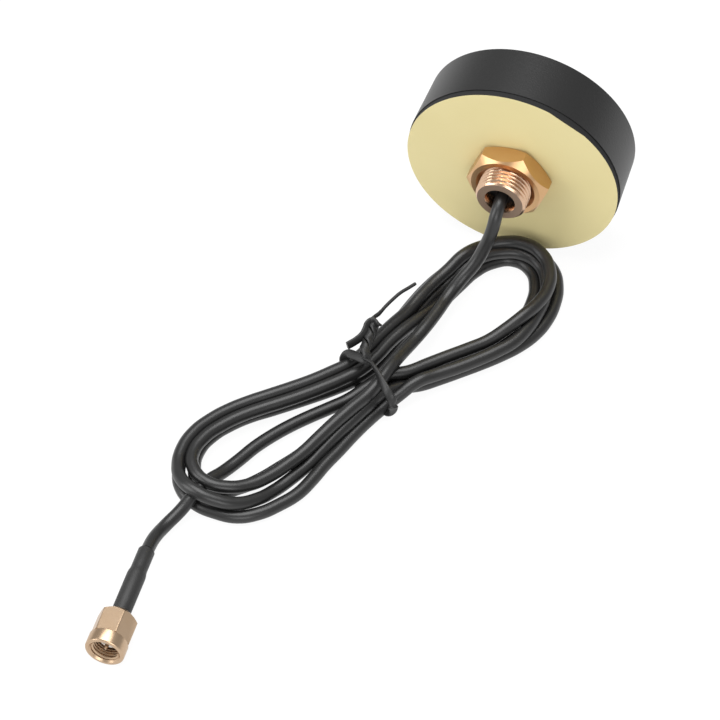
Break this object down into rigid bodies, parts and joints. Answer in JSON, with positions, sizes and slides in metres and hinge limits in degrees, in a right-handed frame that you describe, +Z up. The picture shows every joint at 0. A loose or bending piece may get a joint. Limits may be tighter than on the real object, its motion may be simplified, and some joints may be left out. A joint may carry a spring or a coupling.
{
  "type": "gps antenna",
  "caption": "Round screw-mount GPS antenna with a hollow threaded stud, hexagon nut and a folded coaxial lead ending in a screw-on coaxial plug.",
  "frame": {"origin": "bottom centre of the antenna's bounding box without the free lead and its plug: the floor point under the puck, half way between the stud's end and the radome's crown", "axes": "+Z up with the puck standing on its rim, the antenna's own axis along Y with the stud towards -Y and the radome's crown towards +Y"},
  "size_m": [0.076, 0.1556, 0.05],
  "materials": {
    "housing_asa": "matt, fine moulded grain",
    "base_zinc": "die-cast, as cast",
    "seal_rubber": "matt",
    "pad_foam": "closed-cell foam, matt",
    "liner_paper": "waxed paper, satin",
    "stud_brass": "bright turned",
    "nut_brass": "bright turned",
    "board_laminate": "solder resist",
    "screw_steel": "zinc plated",
    "patch_ceramic": "fired ceramic",
    "electrode_silver": "printed silver",
    "tape_adhesive": "adhesive tape",
    "pin_gold": "gold plated",
    "can_tin": "tin plated",
    "chip_moulding": "moulded epoxy",
    "filter_lid": "gold plated lid",
    "cable_jacket": "satin extruded",
    "cable_braid": "tinned braid",
    "cable_dielectric": "extruded polyethylene",
    "cable_copper": "bare copper",
    "tie_vinyl": "vinyl-covered wire",
    "sleeve_polyolefin": "shrunk, satin",
    "plug_gold": "gold plated, bright",
    "plug_ptfe": "turned",
    "gasket_silicone": "moulded",
    "ring_bronze": "spring temper"
  },
  "bodies": {
    "antenna": {"radome": "housing_asa", "base_plate": "base_zinc", "base_seal_ring": "seal_rubber", "foam_pad": "pad_foam", "release_liner": "liner_paper", "threaded_stud": "stud_brass", "mounting_nut": "nut_brass", "cable_grommet": "seal_rubber", "circuit_board": "board_laminate", "board_screws": "screw_steel", "ceramic_patch": "patch_ceramic", "patch_electrode": "electrode_silver", "patch_tape": "tape_adhesive", "feed_pin": "pin_gold", "shield_can": "can_tin", "lna_chip": "chip_moulding", "band_filter": "filter_lid", "cable_jacket_end": "cable_jacket", "cable_braid_end": "cable_braid", "cable_dielectric_end": "cable_dielectric", "cable_core_end": "cable_copper", "cord_lead_in": "cable_jacket", "cord_hank": "cable_jacket", "cord_lead_out": "cable_jacket", "twist_tie": "tie_vinyl", "heat_shrink_sleeve": "sleeve_polyolefin", "crimp_ferrule": "plug_gold", "plug_cable_end": "cable_jacket", "plug_body": "plug_gold", "plug_insulator": "plug_ptfe", "plug_center_pin": "pin_gold", "plug_gasket": "gasket_silicone", "plug_snap_ring": "ring_bronze"},
    "plug_nut": {"coupling_nut": "plug_gold"}
  },
  "joints": [
    {"name": "sma_coupling_nut", "type": "hinge", "parent": "antenna", "child": "plug_nut", "pos_m": [-0.0461, -0.1432, 0.00445], "axis": [0.0262, -0.9997, 0], "continuous": true}
  ]
}
